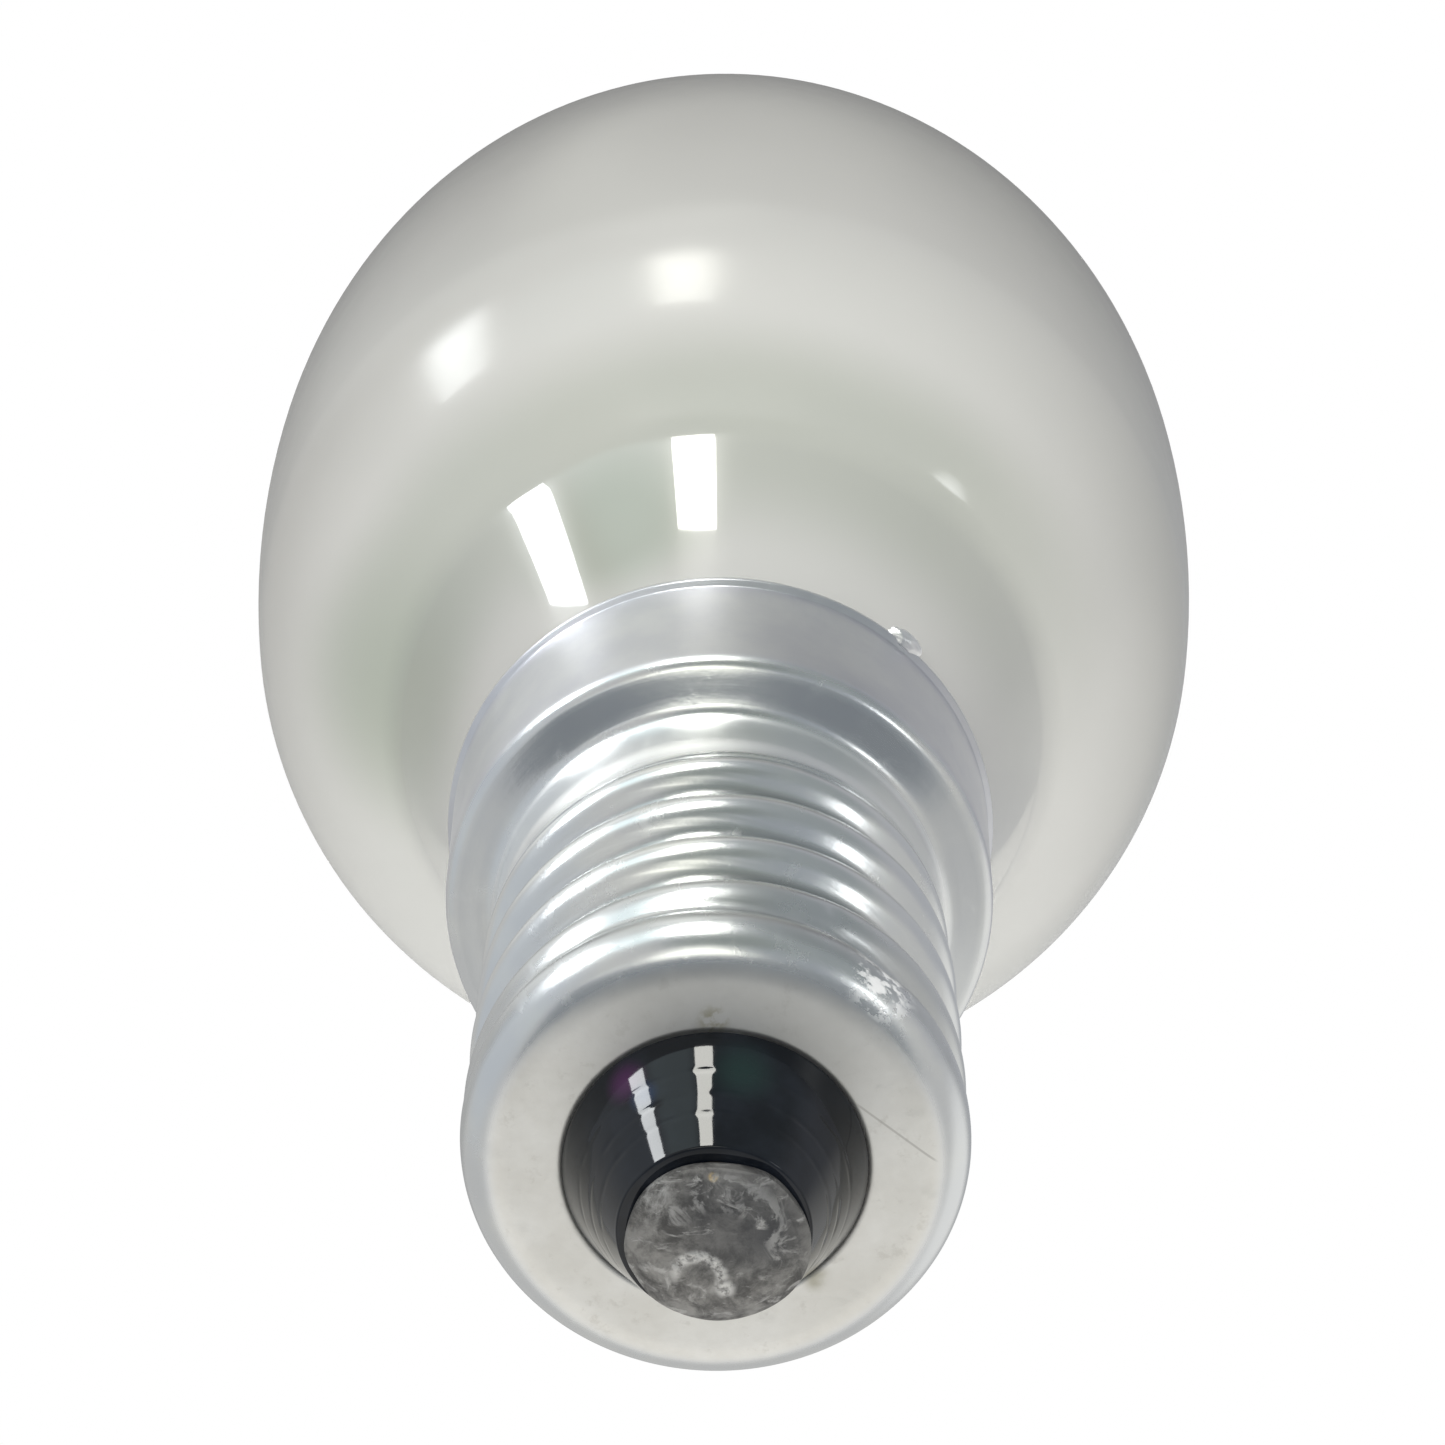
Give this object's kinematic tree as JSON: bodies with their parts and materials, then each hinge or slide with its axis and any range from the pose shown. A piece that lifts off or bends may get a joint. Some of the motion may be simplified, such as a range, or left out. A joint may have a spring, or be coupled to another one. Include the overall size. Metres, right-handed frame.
{
  "type": "screw-cap candle lamp bulb",
  "caption": "Small pearl-glass candle bulb on a rolled aluminium screw cap, with a black glass insulator and a soldered centre contact.",
  "frame": {"origin": "The middle of the centre contact's worn face, at the foot of the cap.", "axes": "+Z runs along the lamp's axis from the contact to the tip of the bulb. The side lead's solder is on the +X, -Y side. The whole lamp is round about Z but for its thread and that spot."},
  "size_m": [0.034, 0.034, 0.098],
  "materials": {
    "pearl_glass": "blown glass with a milky pearl coat inside and a smooth, glossy outside",
    "cap_aluminium": "satin drawn and rolled sheet, with scuffed ridges",
    "black_glass": "glossy moulded black glass",
    "solder": "dull tin solder, scratched by a lampholder's contact",
    "eyelet_brass": "plain pressed brass",
    "lead_wire": "bare drawn wire",
    "cement": "baked resin and marble-flour cement, matt"
  },
  "bodies": {
    "root": {"glass_envelope": "pearl_glass", "screw_shell": "cap_aluminium", "insulator": "black_glass", "contact_solder": "solder", "contact_eyelet": "eyelet_brass", "centre_lead": "lead_wire", "side_lead": "lead_wire", "side_solder": "solder", "capping_cement": "cement"}
  },
  "joints": []
}
